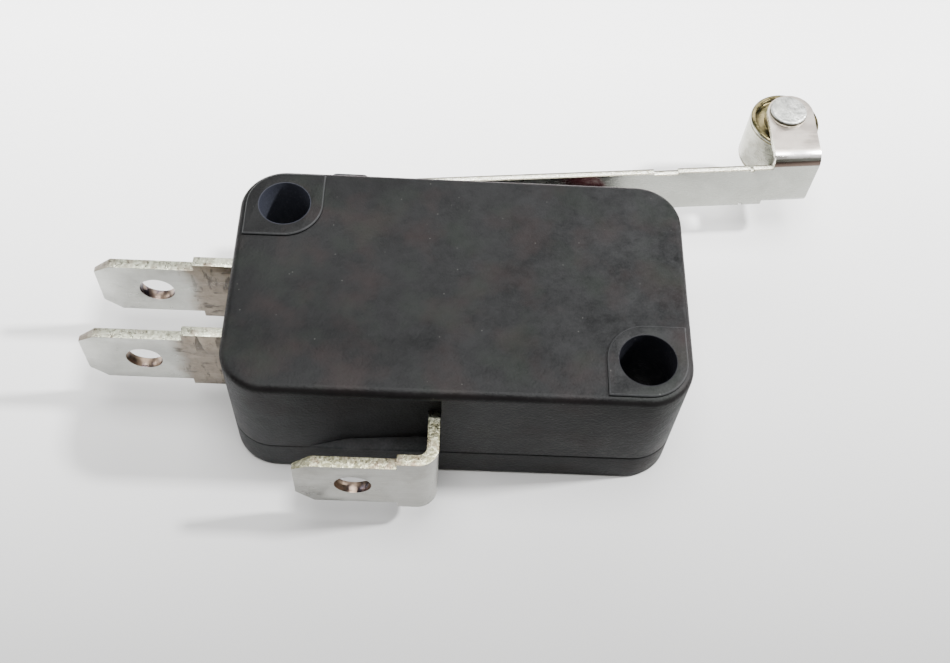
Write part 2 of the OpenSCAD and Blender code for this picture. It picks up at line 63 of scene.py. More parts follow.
# Body: its corners are concentric with the mounting holes
CORNER_R = -CASE_LOW.x
LEFT, RIGHT = CASE_LOW.x, CASE_HIGH.x
FRONT, BACK = CASE_LOW.y, CORNER_R
PARTING_Z = CASE_LOW.z
PAD_Z = CASE_HIGH.z
PAD_H = 0.2 * MM
FACE_Z = PAD_Z - PAD_H
MID_Z = PAD_Z / 2
TOP_EDGE_R = 0.45 * MM
FOOT_EDGE_R = 0.3 * MM
PARTING_BEVEL = 0.1 * MM
PAD_R = 2.4 * MM
PAD_EDGE_R = 0.13 * MM
BOSS_R = 2.7 * MM
WALL = 1.3 * MM
FRONT_WALL = 2.1 * MM
FLOOR_T = 1.2 * MM
ROOF_Z = FACE_Z - 1.5 * MM
HOUSING_EDGE_R = 0.05 * MM
IN_LEFT, IN_RIGHT = LEFT + WALL, RIGHT - WALL
IN_FRONT, IN_BACK = FRONT + FRONT_WALL, BACK - WALL
HOLES = [MOUNTS["datum_hole"], MOUNTS["second_hole"]]
# Painted light and shade in the two bores: a lighter blue-grey in the datum hole, near black in the second.
BORE_LIGHT_AND_SHADE = [(0.018, 0.0195, 0.0265), (0.0045, 0.0047, 0.0066)]
PEGS = [(IN_LEFT + 0.9 * MM, IN_FRONT + 0.1 * MM), (IN_RIGHT - 0.8 * MM, IN_BACK - 0.8 * MM)]
PEG_R = 0.6 * MM
PEG_LEN = 2.2 * MM
PEG_BOSS_R = 1.4 * MM
PEG_HOLE_SPARE = 0.3 * MM
PLAY = 0.02 * MM
LOOSE_PLAY = 0.05 * MM

# Front recess: it slopes in from the left, and is deepest at the common terminal
RECESS_TOP = 9.45 * MM
RECESS_START, RECESS_SLOPE_END = 1.9 * MM, 4.5 * MM
RECESS_SLOPE_DEEP = 0.7 * MM
RECESS_DEEP = 1.0 * MM

# Plunger and its guide through the back wall
STEM_R = 1.2 * MM
GUIDE_R = 1.26 * MM
GUIDE_COLLAR_R = 2.1 * MM
GUIDE_END = IN_BACK - 2 * MM
FLANGE_T = 0.8 * MM
FLANGE_GAP = 0.05 * MM
STEM_TOP_R, STEM_FOOT_R = 0.5 * MM, 0.75 * MM

# Terminals
SIDE_LOW, SIDE_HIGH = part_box("normally_open_terminal")
COMMON_LOW, COMMON_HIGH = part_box("common_terminal")
STRIP_T = SIDE_HIGH.y - SIDE_LOW.y
TAB_W = 4.75 * MM
SHOULDER_W = SIDE_HIGH.z - SIDE_LOW.z
SHOULDER_LEN = 2.8 * MM
INNER_GAP = 0.05 * MM
INNER_SHOULDER_W = 5.4 * MM
INNER_SHOULDER_LEN = 1.4 * MM
TONGUE_W = 3.2 * MM
TIP_LEN = 1.1 * MM
TIP_WID = 0.8 * MM
TIP_THIN = 0.4 * MM / STRIP_T
COMMON_NECK_UP = 1.2 * MM
BEND_R = 1.2 * MM
STEP_X = 7.8 * MM
SHOULDER_GAP = 0.35 * MM
CONTACT_RIVET_R = 0.62 * MM
KNIFE_LEN = 0.5 * MM
KNIFE_SHARP = 0.05

# Lever, in its own frame: origin on the hinge axis, +X along the sheet, +Y square to it
HINGE = Vector(JOINTS["lever_hinge"]["pos_m"])
ROLLER = Vector(JOINTS["roller_spin"]["pos_m"])
TILT = math.radians(6)
ROLLER_AT = Matrix.Rotation(-TILT, 4, "Z") @ (ROLLER - HINGE)
SHEET_UP = 0.69 * MM
SHEET_T = 0.45 * MM
LEVER_LOW, LEVER_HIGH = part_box("lever")
SHEET_BOTTOM, SHEET_TOP = -1.75 * MM, 2.05 * MM
LUG_R = 0.95 * MM
LUG_FOLD_R = 0.6 * MM
PIN_R = 0.5 * MM
BRACKET_BOTTOM, BRACKET_TOP = LEVER_LOW.z - HINGE.z, LEVER_HIGH.z - HINGE.z
BRACKET_LEN = 3.2 * MM
BRACKET_LEAN = 0.35 * MM
BRACKET_EAR_R = 1.65 * MM
FOLD_R = 0.9 * MM
NOTCH_ALONG, NOTCH_LEN = 21.5 * MM, 1.7 * MM
RELIEF_ALONG, RELIEF_LEN = 27.5 * MM, 0.25 * MM
NOTCH_DEEP = 0.18 * MM
RIVET_R = 0.75 * MM
RIVET_HEAD_R = 1.28 * MM
RIVET_HEAD_T = 0.4 * MM
RIVET_HEAD_EDGE_R = 0.18 * MM
ROLLER_RIM_R = 0.2 * MM
ROLLER_RIM_W = 0.2 * MM
ROLLER_HUB_R = 1.4 * MM
ROLLER_DISH = 0.3 * MM

# The body's two ears, which hold the hinge pin
EAR_W = 2.5 * MM
EAR_UP = 1.0 * MM
EAR_CORNER_R = 0.4 * MM
CASE_EAR_T = 0.7 * MM
COVER_EAR_T = 1.1 * MM
EAR_GAP = 0.2 * MM
CASE_EAR_Z = HINGE.z + SHEET_TOP + EAR_GAP
POCKET_FLOOR = HINGE.y - LUG_R - EAR_GAP


# ---------------------------------------------------------------- modelling helpers

def clear_selection():
    """Leaves nothing selected, so that an operator acts on the new piece alone."""
    if bpy.context.object and bpy.context.object.mode == "EDIT":
        bpy.ops.object.mode_set(mode="OBJECT")
    bpy.ops.object.select_all(action="DESELECT")


def make_active(piece):
    """Selects one piece alone and makes it the active one."""
    clear_selection()
    piece.select_set(True)
    bpy.context.view_layer.objects.active = piece


def settle(piece):
    """Moves a piece's place, turn and size into its mesh."""
    make_active(piece)
    bpy.ops.object.transform_apply(location=True, rotation=True, scale=True)


def block(name, low, high):
    """A box between two corners."""
    clear_selection()
    middle = (Vector(low) + Vector(high)) / 2
    bpy.ops.mesh.primitive_cube_add(size=1, location=middle)
    piece = bpy.context.object
    piece.name = name
    piece.scale = Vector(high) - Vector(low)
    settle(piece)
    return piece


def rod(name, centre, radius, low, high, axis="Z", sides=64):
    """A cylinder along an axis, from low to high on it."""
    clear_selection()
    turn = {"X": (0, math.pi / 2, 0), "Y": (math.pi / 2, 0, 0), "Z": (0, 0, 0)}[axis]
    place = Vector(centre)
    place["XYZ".index(axis)] = (low + high) / 2
    bpy.ops.mesh.primitive_cylinder_add(
        vertices=sides, radius=radius, depth=high - low, location=place, rotation=turn
    )
    piece = bpy.context.object
    piece.name = name
    settle(piece)
    return piece


def prism(name, outline, low, high):
    """A plate with the outline's points in X and Y, from low to high in Z."""
    clear_selection()
    bpy.ops.mesh.primitive_circle_add(vertices=len(outline), radius=1, fill_type="NGON")
    piece = bpy.context.object
    piece.name = name
    for vertex, point in zip(piece.data.vertices, outline):
        vertex.co = (point[0], point[1], low)
    bpy.ops.object.mode_set(mode="EDIT")
    bpy.ops.mesh.select_all(action="SELECT")
    bpy.ops.mesh.extrude_region_move(TRANSFORM_OT_translate={"value": (0, 0, high - low)})
    bpy.ops.object.mode_set(mode="OBJECT")
    return outward(piece)


def outward(piece):
    """Turns every face of a closed piece outwards."""
    make_active(piece)
    bpy.ops.object.mode_set(mode="EDIT")
    bpy.ops.mesh.select_all(action="SELECT")
    bpy.ops.mesh.remove_doubles(threshold=0.0005 * MM)
    bpy.ops.mesh.normals_make_consistent(inside=False)
    bpy.ops.object.mode_set(mode="OBJECT")
    return piece


def pick(piece, kind, test):
    """Selects the vertices, edges or faces that pass a test, and stays in edit mode."""
    make_active(piece)
    bpy.ops.object.mode_set(mode="EDIT")
    bpy.ops.mesh.select_mode(type=kind)
    bpy.ops.mesh.select_all(action="DESELECT")
    mesh = bmesh.from_edit_mesh(piece.data)
    mesh.faces.ensure_lookup_table()
    for element in {"VERT": mesh.verts, "EDGE": mesh.edges, "FACE": mesh.faces}[kind]:
        if test(element):
            element.select_set(True)
    mesh.select_flush_mode()
    bmesh.update_edit_mesh(piece.data)


def near(value, target, slack=0.005 * MM):
    """Whether two lengths are the same but for rounding."""
    return abs(value - target) < slack


def lies_at(level, axis=2):
    """A test for edges that lie at one place along an axis."""
    return lambda edge: all(near(vertex.co[axis], level) for vertex in edge.verts)


def spans(edge, axis, least):
    """Whether an edge runs at least so far along an axis."""
    return abs(edge.verts[0].co[axis] - edge.verts[1].co[axis]) > least


def facing(direction, place=None, axis=0):
    """A test for faces that look one way, and lie at one place along an axis."""
    aim = Vector(direction)

    def test(face):
        lies = place is None or near(face.calc_center_median()[axis], place)
        return face.normal.dot(aim) > 0.99 and lies

    return test


def round_edges(piece, test, width, segments):
    """Bevels the edges that pass a test."""
    pick(piece, "EDGE", test)
    bpy.ops.mesh.bevel(offset=width, segments=segments, affect="EDGES", profile=0.5)
    bpy.ops.object.mode_set(mode="OBJECT")


def extrude(piece, test, move):
    """Draws the faces that pass a test out by a vector."""
    pick(piece, "FACE", test)
    bpy.ops.mesh.extrude_region_move(TRANSFORM_OT_translate={"value": move})
    bpy.ops.object.mode_set(mode="OBJECT")


def fold(piece, test, centre, axis, angle, steps=8):
    """Spins the faces that pass a test round an axis, as a sheet is folded."""
    pick(piece, "FACE", test)
    bpy.ops.mesh.spin(steps=steps, angle=angle, center=centre, axis=axis)
    bpy.ops.object.mode_set(mode="OBJECT")


def widen(value, centre):
    """Scales what is selected about a point."""
    bpy.ops.transform.resize(value=value, center_override=centre)


def combine(piece, tool, operation="DIFFERENCE"):
    """Cuts a piece with a tool, or joins the tool to it, and takes the tool away."""
    make_active(piece)
    modifier = piece.modifiers.new("combine", "BOOLEAN")
    modifier.object = tool
    modifier.operation = operation
    modifier.solver = "EXACT"
    bpy.ops.object.modifier_apply(modifier=modifier.name)
    bpy.data.objects.remove(tool)
    return piece


def soften(piece, width, segments=2, angle=30):
    """Rounds all sharp edges a little and shades the piece smooth between them."""
    make_active(piece)
    modifier = piece.modifiers.new("soften", "BEVEL")
    modifier.width = width
    modifier.segments = segments
    modifier.limit_method = "ANGLE"
    modifier.angle_limit = math.radians(angle)
    modifier.use_clamp_overlap = True
    bpy.ops.object.modifier_apply(modifier=modifier.name)
    bpy.ops.object.shade_smooth_by_angle(angle=math.radians(angle))
    return piece


def stand_for(piece, node, body, slot, *finishes):
    """Gives a piece its finishes and lets it replace its CAD node."""
    for finish in finishes:
        piece.data.materials.append(finish)
    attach(piece, body)
    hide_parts(node)
    return piece


# ---------------------------------------------------------------- finishes

class Number:
    """A value inside a finish. Arithmetic on it adds Math nodes."""

    def __init__(self, finish, socket):
        self.finish = finish
        self.socket = socket

    def _math(self, operation, first, second):
        return self.finish.node("ShaderNodeMath", {"operation": operation}, {0: first, 1: second})

    def __add__(self, other):
        return self._math("ADD", self, other)

    def __radd__(self, other):
        return self._math("ADD", other, self)

    def __sub__(self, other):
        return self._math("SUBTRACT", self, other)

    def __rsub__(self, other):
        return self._math("SUBTRACT", other, self)

    def __mul__(self, other):
        return self._math("MULTIPLY", self, other)

    def __rmul__(self, other):
        return self._math("MULTIPLY", other, self)

    def __truediv__(self, other):
        return self._math("DIVIDE", self, other)

    def __rtruediv__(self, other):
        return self._math("DIVIDE", other, self)

    def __pow__(self, other):
        return self._math("POWER", self, other)

    def __abs__(self):
        return self._math("ABSOLUTE", self, 0)

    def below(self, limit, soft):
        """1 below a limit and 0 above it, with a soft step."""
        settings = {"interpolation_type": "SMOOTHSTEP"}
        inputs = {"Value": self, "From Min": limit - soft, "From Max": limit + soft, "To Min": 1, "To Max": 0}
        return self.finish.node("ShaderNodeMapRange", settings, inputs)

    def above(self, limit, soft):
        """0 below a limit and 1 above it, with a soft step."""
        return 1 - self.below(limit, soft)

    def between(self, low, high, soft):
        """1 between two limits and 0 outside them, with soft steps."""
        return self.above(low, soft) * self.below(high, soft)


def rgba(colour):
    """A colour as a socket takes it: a link as it is, three numbers with a fourth of 1."""
    return colour if isinstance(colour, Number) else (*colour, 1)


class Finish:
    """A procedural material, built up from nodes on the piece's own coordinates."""

    def __init__(self, name, **fixed):
        self.material = bpy.data.materials.new(name)
        self.material.use_nodes = True
        self.tree = self.material.node_tree
        self.shader = self.tree.nodes["Principled BSDF"]
        for socket, value in fixed.items():
            self.shader.inputs[socket.replace("_", " ")].default_value = value
        self.place = self.node("ShaderNodeTexCoord", output="Object")

    def node(self, kind, settings=None, inputs=None, output=0):
        """Adds a node, with its settings first and then its sockets' values or links."""
        made = self.tree.nodes.new(kind)
        for name, value in (settings or {}).items():
            setattr(made, name, value)
        for name, value in (inputs or {}).items():
            if isinstance(value, Number):
                self.tree.links.new(value.socket, made.inputs[name])
            else:
                made.inputs[name].default_value = value
        return Number(self, made.outputs[output])

    def stretched(self, scale=(1, 1, 1), turn=(0, 0, 0), move=(0, 0, 0)):
        """The piece's coordinates in millimetres, moved, turned and scaled."""
        inputs = {"Vector": self.place, "Location": move, "Rotation": turn}
        inputs["Scale"] = tuple(s / MM for s in scale)
        return self.node("ShaderNodeMapping", None, inputs)

    def noise(self, scale, detail=3, rough=0.5, at=None):
        """Cloudy noise from 0 to 1; scale counts its waves in a millimetre."""
        inputs = {"Vector": at or self.stretched(), "Scale": scale, "Detail": detail, "Roughness": rough}
        return self.node("ShaderNodeTexNoise", None, inputs)

    def cells(self, scale):
        """Distance to scattered points; scale counts them in a millimetre."""
        inputs = {"Vector": self.stretched(), "Scale": scale}
        return self.node("ShaderNodeTexVoronoi", {"feature": "F1"}, inputs)

    def axis(self, name, at=None):
        """One of the piece's coordinates, in millimetres."""
        return self.node("ShaderNodeSeparateXYZ", None, {0: at or self.stretched()}, output=name)

    def blend(self, factor, first, second):
        """A colour between two colours."""
        inputs = {0: factor, 6: rgba(first), 7: rgba(second)}
        return self.node("ShaderNodeMix", {"data_type": "RGBA"}, inputs, output=2)

    def ramp(self, value, low, high, start, end):
        """Maps a value from one span to another, and stops at its ends."""
        inputs = {"Value": value, "From Min": low, "From Max": high, "To Min": start, "To Max": end}
        return self.node("ShaderNodeMapRange", None, inputs)

    def relief(self, *layers):
        """Stacks bumps, each a height from 0 to 1 and its depth in millimetres."""
        normal = None
        for height, depth in layers:
            inputs = {"Height": height, "Distance": depth * MM, "Strength": 1.0}
            if normal:
                inputs["Normal"] = normal
            normal = self.node("ShaderNodeBump", None, inputs)
        return normal

    def paint(self, **sockets):
        """Feeds the shader's sockets, and gives the finished material."""
        for name, value in sockets.items():
            socket = self.shader.inputs[name.replace("_", " ")]
            if isinstance(value, Number):
                self.tree.links.new(value.socket, socket)
            else:
                socket.default_value = value
        return self.material


def moulded_black():
    """Matt black glass-filled moulding: mottled faces and a few pale specks, with painted shade to the left of the
    top, painted light on the walls, painted shade on the rounded top edges, painted shadow and highlight at the
    pads' steps, and painted light and shade in the bores.
    """
    finish = Finish("moulded_black", Specular_IOR_Level=0.09)
    clouds = finish.noise(0.3, detail=8, rough=0.74)
    patches = finish.noise(1.3, detail=6, rough=0.76)
    grain = finish.noise(7, detail=3, rough=0.7)
    pits = finish.cells(5)
    specks = finish.cells(1.1)
    mottle = 0.45 * clouds + 0.3 * patches + 0.25 * grain
    dust = finish.ramp(mottle, 0.41, 0.59, 0, 1)
    across, along, up = finish.axis("X"), finish.axis("Y"), finish.axis("Z")
    faces = finish.blend(dust, (0.0024, 0.0026, 0.0028), (0.0130, 0.0132, 0.0137))
    # Painted shade: the top is darker towards the left.
    painted_shade_left = finish.ramp(across - 0.2 * along, 0, 24, 0.75, 0)
    shaded = finish.blend(painted_shade_left, faces, (0.0025, 0.0026, 0.0027))
    # Painted light: the walls below the top edge are lighter than the top, most of all towards the left.
    painted_light_walls = up.below(9.55, 0.2) * finish.ramp(across, 18, 0, 0.05, 0.95)
    sides = finish.blend(dust, (0.0180, 0.0192, 0.0208), (0.047, 0.0482, 0.0500))
    matrix = finish.blend(painted_light_walls, shaded, sides)
    rust_cloud = finish.noise(0.3, detail=4, at=finish.stretched(move=(7, 3, 0)))
    moss_cloud = finish.noise(0.35, detail=4, at=finish.stretched(move=(1, 9, 4)))
    warm = finish.blend(finish.ramp(rust_cloud, 0.5, 0.68, 0, 0.4), matrix, (0.0155, 0.0095, 0.0090))
    tinted = finish.blend(finish.ramp(moss_cloud, 0.5, 0.68, 0, 0.35), warm, (0.0085, 0.0115, 0.0085))
    # Painted shade on the rounded top edge: darkest at the front, lighter and reddish along the back.
    shaded_edge_band = up.between(9.68, 10.03, 0.06) * (1 - painted_light_walls)
    back_edge = along.above(2.35, 0.2)
    edge = finish.blend(back_edge, (0.0035, 0.0028, 0.0030), (0.016, 0.006, 0.0085))
    banded = finish.blend(0.75 * shaded_edge_band, tinted, edge)
    # Painted shadow at the foot of each pad's step, and a painted highlight on its rounded rim.
    painted_shadow_pad_foot = up.between(FACE_Z / MM + 0.01, FACE_Z / MM + 0.09, 0.015)
    painted_highlight_pad_rim = up.between(FACE_Z / MM + 0.10, PAD_Z / MM - 0.012, 0.01)
    footed = finish.blend(0.9 * painted_shadow_pad_foot, banded, (0.0008, 0.0008, 0.0009))
    rimmed = finish.blend(0.6 * painted_highlight_pad_rim, footed, (0.032, 0.033, 0.034))
    # Painted light and shade in each bore, in its own tone.
    for hole, bore in zip(HOLES, BORE_LIGHT_AND_SHADE):
        from_axis = (across - hole["pos_m"][0] / MM) ** 2 + (along - hole["pos_m"][1] / MM) ** 2
        in_bore = from_axis.below((hole["dims"]["r_mm"] + 0.04) ** 2, 0.06)
        rimmed = finish.blend(0.92 * in_bore, rimmed, bore)
    colour = finish.blend(0.4 * specks.below(0.04, 0.02), rimmed, (0.10, 0.10, 0.095))
    roughness = finish.ramp(mottle, 0.38, 0.62, 0.38, 0.62) - 0.08 * shaded_edge_band
    bump = finish.relief((clouds, 0.04), (patches, 0.03), (grain, 0.022), (pits, 0.01))
    return finish.paint(Base_Color=colour, Roughness=roughness, Normal=bump)


def moulded_red():
    """Dark red moulding of the plunger."""
    finish = Finish("moulded_red", Specular_IOR_Level=0.2)
    grain = finish.noise(5, detail=3)
    colour = finish.blend(grain, (0.018, 0.0022, 0.0042), (0.040, 0.004, 0.0075))
    roughness = finish.ramp(grain, 0.3, 0.7, 0.32, 0.45)
    return finish.paint(Base_Color=colour, Roughness=roughness, Normal=finish.relief((grain, 0.006)))


def plated_strip():
    """Satin plating on the flat of the terminals, tanned and scored beside the body."""
    finish = Finish("plated_strip", Metallic=1.0)
    smudge = finish.noise(0.7, detail=6, rough=0.65)
    rolled = finish.noise(1.2, detail=3, at=finish.stretched((0.5, 6, 6)))
    fine = finish.noise(12, detail=3, rough=0.7)
    ragged = finish.axis("X") + 2.2 * smudge
    beside_body = ragged.between(-4.9, 0, 0.6)
    score = finish.noise(0.9, detail=3, rough=0.6, at=finish.stretched((2.6, 1, 0.6), (0, 0.18, 0)))
    scatter = finish.noise(0.8, detail=4, rough=0.65, at=finish.stretched((1.0, 1, 2.6), (0, 0.85, 0)))
    where = finish.ramp(finish.noise(0.55, detail=2), 0.42, 0.58, 0, 1)
    scores = beside_body * (where * score.above(0.575, 0.05) + (1 - where) * scatter.above(0.585, 0.05))
    wear = finish.ramp(smudge, 0.38, 0.62, 0, 1)
    plating = finish.blend(wear, (0.46, 0.465, 0.43), (0.58, 0.585, 0.555))
    # Painted shade: the common terminal's front tab is darker than the rest of the plating.
    shaded_front_tab = finish.axis("Y").below(-14, 0.5)
    front_shade_colour = finish.blend(wear, (0.27, 0.265, 0.24), (0.36, 0.355, 0.335))
    front_shaded = finish.blend(0.9 * shaded_front_tab, plating, front_shade_colour)
    tan = finish.blend(wear, (0.175, 0.135, 0.098), (0.32, 0.268, 0.21))
    dulled = finish.blend(0.9 * beside_body, front_shaded, tan)
    colour = finish.blend(0.8 * scores, dulled, (0.07, 0.06, 0.05))
    roughness = finish.ramp(0.6 * smudge + 0.4 * rolled, 0.38, 0.62, 0.26, 0.48)
    bump = finish.relief((smudge, 0.02), (rolled, 0.008), (fine, 0.006), (1 - scores, 0.02))
    return finish.paint(Base_Color=colour, Roughness=roughness, Normal=bump)


def sheared_edge():
    """The cut edge of plated strip: cream and pale green, with brown stains and fine tears."""
    finish = Finish("sheared_edge", Metallic=1.0)
    tears = finish.noise(2.6, detail=4, rough=0.6, at=finish.stretched((2.0, 2.0, 0.7)))
    stains = finish.noise(0.7, detail=4, rough=0.65)
    glints = finish.noise(5, detail=3, rough=0.7)
    cream = finish.blend(finish.ramp(tears, 0.38, 0.62, 0, 1), (0.26, 0.265, 0.205), (0.43, 0.44, 0.355))
    # Painted shade: the cut edges of the common terminal's front tab are darker.
    shaded_front_tab = finish.axis("Y").below(-13.6, 0.4)
    front_shade_colour = finish.blend(finish.ramp(tears, 0.42, 0.58, 0, 1), (0.12, 0.115, 0.072), (0.28, 0.275, 0.195))
    toned = finish.blend(shaded_front_tab, cream, front_shade_colour)
    tip = finish.axis("X").below(-10.7, 0.8)
    stain_and_shade = finish.blend(0.7 * tip, toned, (0.12, 0.085, 0.07))
    colour = finish.blend(finish.ramp(stains, 0.54, 0.66, 0, 0.8), stain_and_shade, (0.13, 0.095, 0.07))
    roughness = finish.ramp(glints, 0.38, 0.62, 0.22, 0.5)
    bump = finish.relief((tears, 0.035), (glints, 0.015))
    return finish.paint(Base_Color=colour, Roughness=roughness, Normal=bump)


def punched_wall():
    """The wall of a punched hole: painted shade, streaked with the copper of the strip."""
    finish = Finish("punched_wall", Metallic=1.0)
    streaks = finish.noise(0.9, detail=4, rough=0.55, at=finish.stretched((1.2, 0.8, 1.2)))
    # Painted shade in the hole, streaked with the real copper of the strip.
    colour = finish.blend(finish.ramp(streaks, 0.4, 0.6, 0, 1), (0.055, 0.045, 0.055), (0.36, 0.27, 0.20))
    roughness = finish.ramp(streaks, 0.35, 0.65, 0.22, 0.42)
    return finish.paint(Base_Color=colour, Roughness=roughness, Normal=finish.relief((streaks, 0.03)))


def lever_steel():
    """Satin stainless sheet with a faint rolled grain; painted reflections on the bracket: a beige ear, and on its
    fold a near-white highlight band above a dark brown band.
    """
    finish = Finish("lever_steel", Metallic=1.0)
    along = finish.stretched((0.25, 5, 5), (0, 0, -TILT))
    rolled = finish.noise(2.0, detail=4, at=along)
    smudge = finish.noise(0.35, detail=5, rough=0.6)
    wear = finish.ramp(smudge, 0.38, 0.62, 0, 1)
    steel = finish.blend(wear, (0.272, 0.278, 0.250), (0.322, 0.328, 0.300))
    up = finish.axis("Z")
    fold_low = (HINGE.z + BRACKET_TOP - FOLD_R) / MM
    # Painted reflection: the bracket's ear is tinted beige.
    on_ear = up.above(fold_low + 0.86, 0.03)
    ear_reflection_colour = finish.blend(wear, (0.43, 0.385, 0.345), (0.55, 0.505, 0.46))
    tinted = finish.blend(on_ear, steel, ear_reflection_colour)
    # Painted reflections on the bracket's fold: a dark brown band on its lower part, and a near-white highlight
    # band above it.
    brown = up.between(fold_low + 0.04, fold_low + 0.44, 0.05)
    bright = up.between(fold_low + 0.60, fold_low + 0.84, 0.04)
    shaded = finish.blend(0.9 * brown, tinted, (0.085, 0.052, 0.040))
    colour = finish.blend(bright, shaded, (0.92, 0.90, 0.88))
    roughness = finish.ramp(0.5 * rolled + 0.5 * smudge, 0.38, 0.62, 0.20, 0.32) + 0.16 * on_ear
    bump = finish.relief((rolled, 0.0022), (smudge, 0.015))
    return finish.paint(Base_Color=colour, Roughness=roughness, Normal=bump)


def lever_edge():
    """Sheared edge of the lever, painted near white as a highlight, with a painted shade line along both of its
    corners.
    """
    finish = Finish("lever_edge", Metallic=1.0)
    tears = finish.noise(4, detail=4, rough=0.7, at=finish.stretched((2, 2, 0.5)))
    turned = Matrix.Rotation(-TILT, 4, "Z") @ (HINGE / MM)
    middle = turned.y + (SHEET_UP + SHEET_T / 2) / MM
    off_middle = abs(finish.axis("Y", finish.stretched(turn=(0, 0, -TILT))) - middle)
    # Painted shade lines along both corners of the cut edge, with a near-white painted highlight between them.
    shaded_corners = off_middle.between(0.125, 0.32, 0.03)
    core = finish.blend(finish.ramp(tears, 0.4, 0.6, 0, 1), (0.62, 0.61, 0.48), (1.0, 0.99, 0.90))
    colour = finish.blend(0.9 * shaded_corners, core, (0.085, 0.075, 0.05))
    roughness = finish.ramp(tears, 0.3, 0.7, 0.2, 0.42)
    return finish.paint(Base_Color=colour, Roughness=roughness, Normal=finish.relief((tears, 0.05)))


def peened_rivet():
    """Dull headed rivet, mottled by the peening tool, with painted shade on its flank and a painted highlight on
    its lower rim.
    """
    finish = Finish("peened_rivet", Metallic=1.0)
    dents = finish.noise(1.2, detail=4, rough=0.65)
    scuff = finish.noise(6, detail=3)
    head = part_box("roller_rivet")[1].z / MM
    up = finish.axis("Z")
    top = finish.blend(finish.ramp(dents, 0.4, 0.6, 0, 1), (0.31, 0.315, 0.30), (0.55, 0.555, 0.53))
    # Painted shade on the head's flank, and a painted highlight on the rim below it.
    flank = finish.blend(up.below(head - 0.28, 0.03), (0.06, 0.055, 0.04), (0.62, 0.60, 0.52))
    colour = finish.blend(up.below(head - 0.10, 0.03), top, flank)
    roughness = finish.ramp(scuff, 0.35, 0.65, 0.35, 0.6)
    bump = finish.relief((dents, 0.10), (scuff, 0.012))
    return finish.paint(Base_Color=colour, Roughness=roughness, Normal=bump)


def turned_roller():
    """Turned roller, pale on its rolling face, with painted dark olive and brown reflections in its recessed ends.
    """
    finish = Finish("turned_roller", Metallic=1.0)
    rings = finish.noise(8, detail=2, at=finish.stretched((0.1, 0.1, 3)))
    smudge = finish.noise(1.0, detail=5, rough=0.65)
    roller_low, roller_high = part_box("roller")
    up = finish.axis("Z")
    rolling = finish.blend(finish.ramp(smudge, 0.38, 0.62, 0, 1), (0.34, 0.335, 0.28), (0.46, 0.455, 0.40))
    # Painted dark reflection: olive and brown on the end faces and on the floor of each dish.
    stain_and_shade = finish.blend(finish.ramp(smudge, 0.42, 0.58, 0, 1), (0.055, 0.05, 0.022), (0.20, 0.165, 0.085))
    off_middle = abs(up - ROLLER.z / MM)
    half = (roller_high.z - roller_low.z) / 2 / MM
    colour = finish.blend(off_middle.above(half - 0.08, 0.04), rolling, stain_and_shade)
    inner = off_middle.between(half - 0.34, half - 0.22, 0.03)
    colour = finish.blend(inner, colour, stain_and_shade)
    roughness = finish.ramp(0.5 * rings + 0.5 * smudge, 0.38, 0.62, 0.18, 0.36)
    bump = finish.relief((rings, 0.006), (smudge, 0.02))
    return finish.paint(Base_Color=colour, Roughness=roughness, Normal=bump)


def drawn_wire(name, dark, light, rough):
    """Plain drawn or rolled metal of the inner pieces."""
    finish = Finish(name, Metallic=1.0)
    streaks = finish.noise(3, detail=3)
    return finish.paint(
        Base_Color=finish.blend(streaks, dark, light),
        Roughness=finish.ramp(streaks, 0.3, 0.7, rough, rough + 0.12),
        Normal=finish.relief((streaks, 0.004)),
    )


def pale_table():
    """Matt pale table, with a painted falloff of light towards the front and painted shade towards the right."""
    finish = Finish("pale_table", Specular_IOR_Level=0.1)
    cloud = finish.noise(0.02, detail=3)
    # Painted light: bright at the back, falling off to much darker at the front.
    back = finish.ramp(finish.axis("Y"), -34, 24, 0, 1)
    near_front = finish.blend(cloud, (0.160, 0.160, 0.159), (0.172, 0.172, 0.171))
    far_back = finish.blend(cloud, (0.93, 0.93, 0.93), (0.95, 0.95, 0.95))
    fall_off = finish.blend(back, near_front, far_back)
    # Painted shade: darker towards the right.
    right = finish.ramp(finish.axis("X"), -15, 45, 0, 0.17)
    colour = finish.blend(right, fall_off, (0.05, 0.05, 0.05))
    return finish.paint(Base_Color=colour, Roughness=0.8)


BLACK = moulded_black()
RED = moulded_red()
PLATED = plated_strip()
SHEARED = sheared_edge()
PUNCHED = punched_wall()
LEVER_STEEL = lever_steel()
LEVER_EDGE = lever_edge()
RIVET_STEEL = peened_rivet()
ROLLER_STEEL = turned_roller()
PIN_STEEL = drawn_wire("pin_steel", (0.45, 0.45, 0.45), (0.6, 0.6, 0.6), 0.25)
SPRING_STEEL = drawn_wire("spring_steel", (0.4, 0.4, 0.41), (0.56, 0.56, 0.57), 0.22)
BLADE_COPPER = drawn_wire("blade_copper", (0.5, 0.3, 0.16), (0.66, 0.43, 0.26), 0.25)
CONTACT_SILVER = drawn_wire("contact_silver", (0.75, 0.75, 0.73), (0.86, 0.86, 0.85), 0.2)


# ---------------------------------------------------------------- housing

def moulded_block(name, low, high, low_edge, high_edge):
    """The body's outline from low to high, with rounded corners and edges."""
    piece = block(name, (LEFT, FRONT, low), (RIGHT, BACK, high))
    round_edges(piece, lambda edge: spans(edge, 2, (high - low) / 2), CORNER_R, 16)
    for level, (width, segments) in ((high, high_edge), (low, low_edge)):
        round_edges(piece, lies_at(level), width, segments)
    return piece


